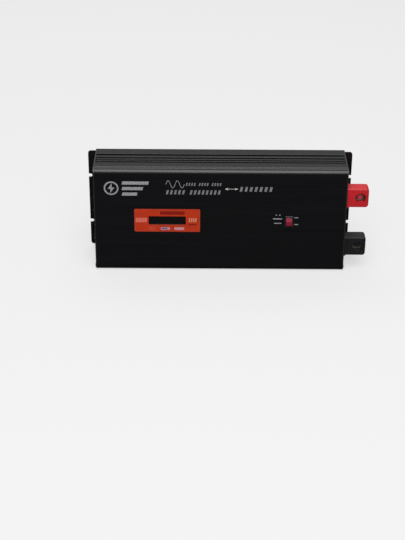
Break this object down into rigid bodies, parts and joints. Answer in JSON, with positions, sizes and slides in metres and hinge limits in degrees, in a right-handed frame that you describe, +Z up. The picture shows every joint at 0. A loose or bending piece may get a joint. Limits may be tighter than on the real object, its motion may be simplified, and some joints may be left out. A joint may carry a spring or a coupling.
{
  "type": "power inverter",
  "caption": "Power inverter and charger in a black ribbed aluminium case with wall flanges, red and black battery terminals, twin fans and mains outlets.",
  "frame": {"origin": "middle of the plane of rib tops and flats that the case stands on", "axes": "+X towards the battery terminals, +Y towards the mounting base, +Z up; the lid faces -Y"},
  "size_m": [0.493, 0.0975, 0.196],
  "materials": {
    "cover_anodised": "black anodised extrusion, satin",
    "base_anodised": "black anodised extrusion, satin",
    "panel_black": "black powder coat on sheet steel",
    "black_screws": "black oxide",
    "zinc_screws": "bright zinc plate",
    "label_vinyl": "printed vinyl film, satin",
    "smoked_lens": "smoked acrylic",
    "display_panel": "unlit display glass on its board",
    "switch_black": "moulded nylon",
    "rocker_red": "moulded, translucent red",
    "tin_plate": "tin plated brass blades",
    "outlet_plastic": "black moulded polycarbonate",
    "contact_brass": "plain brass",
    "inlet_plastic": "black moulded nylon",
    "nickel_plate": "nickel plate",
    "led_green": "tinted epoxy",
    "led_red": "tinted epoxy",
    "breaker_plastic": "black phenolic",
    "black_zinc": "black passivated zinc plate",
    "zinc_steel": "bright zinc plate",
    "terminal_red": "red moulded nylon, satin",
    "terminal_black": "black moulded nylon, satin",
    "tinned_copper": "tin plated copper",
    "bolt_nickel": "black nickel plated steel",
    "bolt_lacquer": "red lacquer on the plated bolt",
    "fan_plastic": "black glass-filled plastic",
    "fan_rotor_plastic": "black moulded plastic",
    "guard_wire": "nickel plated steel wire",
    "circuit_board": "green solder mask on glass epoxy",
    "brass_standoffs": "plain brass",
    "ferrite": "sintered ferrite",
    "winding_tape": "yellow polyester tape over copper",
    "capacitor_sleeve": "dark shrink sleeve",
    "fuse_plastic": "clear amber plastic",
    "relay_case": "blue moulded case",
    "choke_coating": "epoxy coated powder core",
    "enamelled_copper": "enamelled copper wire",
    "epoxy_black": "moulded epoxy",
    "thermal_pad": "grey silicone film"
  },
  "bodies": {
    "case": {"ac_end_panel": "panel_black", "ac_fitting_screws": "black_screws", "base_extrusion": "base_anodised", "blade_fuses": "fuse_plastic", "board_screws": "zinc_screws", "board_standoffs": "brass_standoffs", "breaker_body": "breaker_plastic", "breaker_nut": "black_zinc", "bus_capacitors": "capacitor_sleeve", "control_board": "circuit_board", "cover_extrusion": "cover_anodised", "dc_end_panel": "panel_black", "display_module": "display_panel", "display_window": "smoked_lens", "end_panel_screws": "black_screws", "fan_screws": "black_screws", "fault_led": "led_red", "ground_nuts": "black_zinc", "ground_stud": "black_zinc", "input_capacitors": "capacitor_sleeve", "insulator_pads": "thermal_pad", "lid_label": "label_vinyl", "lower_fan_frame": "fan_plastic", "lower_fan_guard": "guard_wire", "lower_outlet": "outlet_plastic", "main_board": "circuit_board", "mains_inlet": "inlet_plastic", "mains_inlet_pins": "nickel_plate", "mode_switch_body": "switch_black", "mosfet_clamps": "zinc_steel", "mosfets": "epoxy_black", "negative_busbar": "tinned_copper", "negative_terminal_housing": "terminal_black", "outlet_contacts": "contact_brass", "output_choke_core": "choke_coating", "output_choke_winding": "enamelled_copper", "positive_busbar": "tinned_copper", "positive_terminal_housing": "terminal_red", "power_led": "led_green", "power_switch_body": "switch_black", "switch_tabs": "tin_plate", "terminal_screws": "zinc_screws", "transfer_relays": "relay_case", "transformer_cores": "ferrite", "transformer_windings": "winding_tape", "upper_fan_frame": "fan_plastic", "upper_fan_guard": "guard_wire", "upper_outlet": "outlet_plastic"},
    "mode_rocker": {"mode_rocker": "rocker_red"},
    "power_rocker": {"power_rocker": "switch_black"},
    "breaker_button": {"breaker_button": "switch_black"},
    "upper_fan_rotor": {"upper_fan_rotor": "fan_rotor_plastic"},
    "lower_fan_rotor": {"lower_fan_rotor": "fan_rotor_plastic"},
    "positive_washer": {"positive_washer": "bolt_nickel"},
    "positive_bolt": {"positive_bolt": "bolt_lacquer"},
    "negative_washer": {"negative_washer": "bolt_nickel"},
    "negative_bolt": {"negative_bolt": "bolt_nickel"}
  },
  "joints": [
    {"name": "mode_rocker_tilt", "type": "hinge", "parent": "case", "child": "mode_rocker", "pos_m": [0.1205, -0.046, 0.098], "axis": [1, 0, 0], "range_deg": [0, 22]},
    {"name": "power_rocker_tilt", "type": "hinge", "parent": "case", "child": "power_rocker", "pos_m": [-0.219, 0.034, 0.15], "axis": [0, -1, 0], "range_deg": [0, 22]},
    {"name": "breaker_reset", "type": "slide", "parent": "case", "child": "breaker_button", "axis": [-1, 0, 0], "range_m": [0, 0.004]},
    {"name": "upper_fan_spin", "type": "hinge", "parent": "case", "child": "upper_fan_rotor", "pos_m": [0.205, 0.0135, 0.13], "axis": [1, 0, 0], "continuous": true},
    {"name": "lower_fan_spin", "type": "hinge", "parent": "case", "child": "lower_fan_rotor", "pos_m": [0.205, 0.0135, 0.066], "axis": [1, 0, 0], "continuous": true},
    {"name": "positive_bolt_lift", "type": "slide", "parent": "case", "child": "positive_washer", "axis": [0, -1, 0], "range_m": [0, 0.004]},
    {"name": "positive_bolt_turn", "type": "hinge", "parent": "positive_washer", "child": "positive_bolt", "pos_m": [0.2435, -0.028, 0.1416], "axis": [0, -1, 0], "range_deg": [0, 1440]},
    {"name": "negative_bolt_lift", "type": "slide", "parent": "case", "child": "negative_washer", "axis": [0, -1, 0], "range_m": [0, 0.004]},
    {"name": "negative_bolt_turn", "type": "hinge", "parent": "negative_washer", "child": "negative_bolt", "pos_m": [0.2435, -0.028, 0.0476], "axis": [0, -1, 0], "range_deg": [0, 1440]}
  ],
  "couplings": [
    {"joint": "positive_bolt_turn", "follows": "positive_bolt_lift", "rad_per_m": 6283.2},
    {"joint": "negative_bolt_turn", "follows": "negative_bolt_lift", "rad_per_m": 6283.2}
  ]
}
